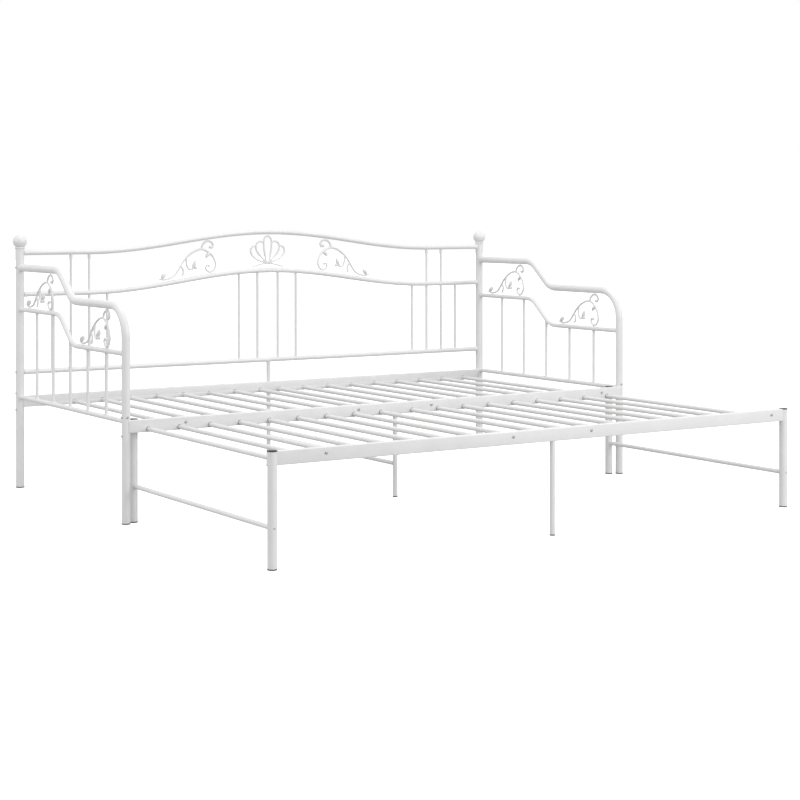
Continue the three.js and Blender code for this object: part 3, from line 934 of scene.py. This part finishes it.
class DAYBED_OT_slats(bpy.types.Operator):
    """Round slats of both frames, each set welded to its strip."""

    bl_idname = "daybed.slats"
    bl_label = "Slats"

    def execute(self, context):
        deck = context.scene.daybed_deck
        for side, sign in SIDES:
            self.panel(f"{side}_main_slats", sign, deck.main_start, MAIN, True)
            self.panel(f"{side}_pull_out_slats", sign, deck.pull_start, PULL_OUT, False)
        return {"FINISHED"}

    def panel(self, node, sign, start, body, strip_at_rear):
        tubes = bpy.context.scene.daybed_tubes
        deck = bpy.context.scene.daybed_deck
        low, high = corners_of(node)
        z = high[2] - tubes.slat_radius
        strip_low, strip_high = low.copy(), high.copy()
        thick = 0.0022
        strip_low[1] = high[1] - thick if strip_at_rear else low[1]
        strip_high[1] = strip_low[1] + thick
        strip_high[2] = high[2] - 0.002
        parts = [box_rail(strip_low, strip_high, 0.001)]
        for x in sign * slat_places(start, deck):
            ends = (x, low[1] + 0.0002, z), (x, high[1] - 0.0002, z)
            parts.append(straight(*ends, tubes.slat_radius, 0, 24))
            if body == PULL_OUT:
                parts.append(self.weld_block(x, high, tubes))
        steel_piece(f"{node}_tubes", parts, body, [node])

    def weld_block(self, x, high, tubes):
        """Small saddle that joins a slat to the rail above it."""
        half = tubes.slat_radius * 0.7
        low_corner = np.array([x - half, high[1] - 0.018, high[2] - 0.004])
        high_corner = np.array([x + half, high[1] - 0.003, high[2] + 0.002])
        return box_rail(low_corner, high_corner, 0.001)


class DAYBED_OT_legs(bpy.types.Operator):
    """Legs, braces, plastic caps and feet."""

    bl_idname = "daybed.legs"
    bl_label = "Legs and Feet"

    def execute(self, context):
        tubes = context.scene.daybed_tubes
        for side, _ in SIDES:
            for end in ("front", "rear"):
                self.leg(f"{side}_{end}_pull_out_leg", PULL_OUT, tubes.leg_radius)
                self.cap(f"{side}_{end}_leg_cap")
            self.brace(f"{side}_side_brace", PULL_OUT)
        for end, body in (("rear", MAIN), ("middle", MAIN), ("front", PULL_OUT)):
            self.leg(f"{end}_centre_leg", body, tubes.small_leg_radius)
        self.brace("centre_brace", MAIN)
        self.feet(context)
        return {"FINISHED"}

    def leg(self, node, body, radius):
        tubes = bpy.context.scene.daybed_tubes
        deck = bpy.context.scene.daybed_deck
        x, y, _ = middle_of(node)
        top = corners_of(node)[1][2]
        start, end = (x, y, deck.foot_height * 0.8), (x, y, top + 0.0018)
        steel_piece(f"{node}_tube", [straight(start, end, radius, 0, tubes.sides)], body, [node])

    def cap(self, node):
        """Flat cap with a rounded rim over the end of a leg."""
        low, high = corners_of(node)
        x, y, _ = middle_of(node)
        wide = (high[0] - low[0]) / 2
        edge = 0.0014
        thick = 0.0032
        base = high[2] - thick
        profile = [
            (base, wide - edge), (base + edge * 0.3, wide - edge * 0.3), (base + edge, wide),
            (high[2] - edge, wide), (high[2] - edge * 0.3, wide - edge * 0.3),
            (high[2] - edge * 0.1, wide - edge), (high[2], wide - 2.2 * edge),
        ]
        cap = turned(profile, (x, y, 0), UP, 40)
        name = f"{node}_moulding"
        make_piece(name, [cap], finish_of("black_plastic"), PULL_OUT, [node])

    def brace(self, node, body):
        tubes = bpy.context.scene.daybed_tubes
        low, high = corners_of(node)
        x, _, z = middle_of(node)
        ends = (x, low[1] - 0.001, z), (x, high[1] + 0.001, z)
        bar = straight(*ends, tubes.brace_radius, tubes.weld_flare, tubes.sides)
        steel_piece(f"{node}_tube", [bar], body, [node])

    def feet(self, context):
        tubes = context.scene.daybed_tubes
        deck = context.scene.daybed_deck
        front = front_leg_y()
        centre = {end: middle_of(f"{end}_centre_leg")[:2] for end in ("rear", "middle", "front")}
        main, pull = [], []
        for _, sign in SIDES:
            main.append(foot(sign * POST[0], POST[1], tubes.post_radius, deck, tubes.sides))
            main.append(foot(sign * POST[0], front, tubes.leg_radius, deck, tubes.sides))
            for spot in (PULL_FRONT, PULL_REAR):
                pull.append(foot(sign * spot[0], spot[1], tubes.leg_radius, deck, tubes.sides))
        for end in ("rear", "middle"):
            main.append(foot(*centre[end], tubes.small_leg_radius, deck, tubes.sides))
        pull.append(foot(*centre["front"], tubes.small_leg_radius, deck, tubes.sides))
        black = finish_of("black_plastic")
        make_piece("main_feet", main, black, MAIN)
        make_piece("pull_out_feet", pull, black, PULL_OUT)


class DAYBED_OT_bolts(bpy.types.Operator):
    """Domed bolts on the rails, posts and legs."""

    bl_idname = "daybed.bolts"
    bl_label = "Bolts"

    def execute(self, context):
        tubes = context.scene.daybed_tubes
        deck = context.scene.daybed_deck
        front = front_leg_y()
        main, pull = [], []
        ahead = (0, -1, 0)
        for rail, heads in (("front_rail", main), ("pull_out_front_rail", pull)):
            low, high = corners_of(rail)
            z = (low[2] + high[2]) / 2 + 0.004
            heads += [bolt((x, low[1], z), ahead, deck.bolt_radius) for x in deck.rail_bolts]
        rail_z = middle_of("rear_rail")[2]
        above = 0.03
        levels = (rail_z + above, rail_z - above)
        low_rail = middle_of("back_lower_rail")[2]
        small = deck.bolt_radius * 0.85
        hoop_face = front - tubes.leg_radius + SEAT
        sunk_face = PULL_FRONT[1] - tubes.leg_radius + 0.0022  # keeps the head behind the cap's rim
        brace_z = middle_of("right_side_brace")[2]
        for _, sign in SIDES:
            out = (sign, 0, 0)
            post_face = sign * (POST[0] + tubes.post_radius - SEAT)
            leg_face = sign * (POST[0] + tubes.leg_radius - SEAT)
            for z in (*levels, low_rail, context.scene.daybed_panel.arm_top_z):
                main.append(bolt((post_face, POST[1], z), out, small))
            for z in levels:
                main.append(bolt((leg_face, front, z), out, small))
            main.append(bolt((sign * POST[0], hoop_face, levels[0]), ahead, small))
            pull.append(bolt((sign * PULL_FRONT[0], sunk_face, brace_z), ahead, small))
        centre = middle_of("front_centre_leg")
        spot = (centre[0] + tubes.small_leg_radius - SEAT, centre[1], 0.113)
        pull.append(bolt(spot, (1, 0, 0), small * 0.8))
        zinc = finish_of("zinc_plate")
        make_piece("main_bolts", main, zinc, MAIN)
        make_piece("pull_out_bolts", pull, zinc, PULL_OUT)
        return {"FINISHED"}


class DAYBED_OT_stage(bpy.types.Operator):
    """Pale floor, soft lights and the camera."""

    bl_idname = "daybed.stage"
    bl_label = "Stage"

    def execute(self, context):
        self.floor(context)
        self.lights(context)
        self.camera(context)
        return {"FINISHED"}

    def floor(self, context):
        half = 30.0
        mesh = bpy.data.meshes.new("floor")
        square = [(-half, -half, 0), (half, -half, 0), (half, half, 0), (-half, half, 0)]
        mesh.from_pydata(square, [], [(0, 1, 2, 3)])
        colour = tuple(context.scene.daybed_finishes.floor)
        material = new_material("studio_floor", colour, 0.9)
        vary_colour(material, add_noise(material, 0.6), scaled(colour, 0.995), colour)
        shader = material.node_tree.nodes["Principled BSDF"]
        shader.inputs["Emission Color"].default_value = (1, 1, 1, 1)
        tree = material.node_tree
        seen = tree.nodes.new("ShaderNodeLightPath").outputs["Is Camera Ray"]
        glow = tree.nodes.new("ShaderNodeMapRange")
        glow.inputs["To Min"].default_value = context.scene.daybed_stage.floor_glow[0]
        glow.inputs["To Max"].default_value = context.scene.daybed_stage.floor_glow[1]
        tree.links.new(seen, glow.inputs["Value"])
        tree.links.new(glow.outputs["Result"], shader.inputs["Emission Strength"])
        mesh.materials.append(material)
        floor = bpy.data.objects.new("floor", mesh)
        context.scene.collection.objects.link(floor)

    def lights(self, context):
        world = bpy.data.worlds.new("studio")
        world.use_nodes = True
        tree = world.node_tree
        sky = tree.nodes["Background"]
        sky.inputs["Color"].default_value = (1, 1, 1, 1)
        seen = tree.nodes.new("ShaderNodeLightPath").outputs["Is Camera Ray"]
        strength = tree.nodes.new("ShaderNodeMapRange")
        strength.inputs["To Min"].default_value = context.scene.daybed_stage.sky_light
        tree.links.new(seen, strength.inputs["Value"])
        tree.links.new(strength.outputs["Result"], sky.inputs["Strength"])
        context.scene.world = world
        context.scene.view_settings.view_transform = "Standard"
        lamps = {
            "left": ((-5.2, 1.4, 2.6), 3.0, 40),
            "right": ((2.8, -6.0, 3.2), 3.0, 170),
            "top": ((0.0, 0.0, 5.0), 4.0, 55),
        }
        for name, (place, size, power) in lamps.items():
            light = bpy.data.lights.new(name, "AREA")
            light.shape = "DISK"
            light.size = size
            light.energy = power
            lamp = bpy.data.objects.new(name, light)
            lamp.location = place
            aim = np.array([0, 0, 0.4]) - np.array(place)
            flat = math.hypot(aim[0], aim[1])
            lamp.rotation_euler = (math.atan2(flat, -aim[2]), 0, math.atan2(-aim[0], aim[1]))
            context.scene.collection.objects.link(lamp)

    def camera(self, context):
        stage = context.scene.daybed_stage
        data = bpy.data.cameras.new("camera")
        data.lens = stage.lens
        data.sensor_width = 36
        data.shift_y = stage.shift
        camera = bpy.data.objects.new("camera", data)
        camera.location = stage.camera_place
        camera.rotation_euler = (math.pi / 2 - stage.camera_tip, 0, -stage.camera_turn)
        context.scene.collection.objects.link(camera)
        context.scene.camera = camera


class DAYBED_PT_panel(bpy.types.Panel):
    """Lists the build steps in the sidebar."""

    bl_idname = "DAYBED_PT_panel"
    bl_label = "Daybed"
    bl_space_type = "VIEW_3D"
    bl_region_type = "UI"
    bl_category = "Daybed"

    def draw(self, context):
        for step in STEPS:
            self.layout.operator(step.bl_idname)


STEPS = (
    DAYBED_OT_posts,
    DAYBED_OT_back_panel,
    DAYBED_OT_arms,
    DAYBED_OT_ornaments,
    DAYBED_OT_rails,
    DAYBED_OT_slats,
    DAYBED_OT_legs,
    DAYBED_OT_bolts,
    DAYBED_OT_stage,
)
SETTINGS = {
    "daybed_tubes": TubeSizes,
    "daybed_panel": PanelSizes,
    "daybed_deck": DeckSizes,
    "daybed_finishes": Finishes,
    "daybed_stage": StageSizes,
}


def register():
    for name, group in SETTINGS.items():
        bpy.utils.register_class(group)
        setattr(bpy.types.Scene, name, PointerProperty(type=group))
    for item in (*STEPS, DAYBED_PT_panel):
        bpy.utils.register_class(item)


def unregister():
    for item in (DAYBED_PT_panel, *reversed(STEPS)):
        bpy.utils.unregister_class(item)
    for name, group in SETTINGS.items():
        delattr(bpy.types.Scene, name)
        bpy.utils.unregister_class(group)


def main():
    register()
    bpy.ops.daybed.posts()
    bpy.ops.daybed.back_panel()
    bpy.ops.daybed.arms()
    bpy.ops.daybed.ornaments()
    bpy.ops.daybed.rails()
    bpy.ops.daybed.slats()
    bpy.ops.daybed.legs()
    bpy.ops.daybed.bolts()
    bpy.ops.daybed.stage()
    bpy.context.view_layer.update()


if __name__ == "__main__":
    main()
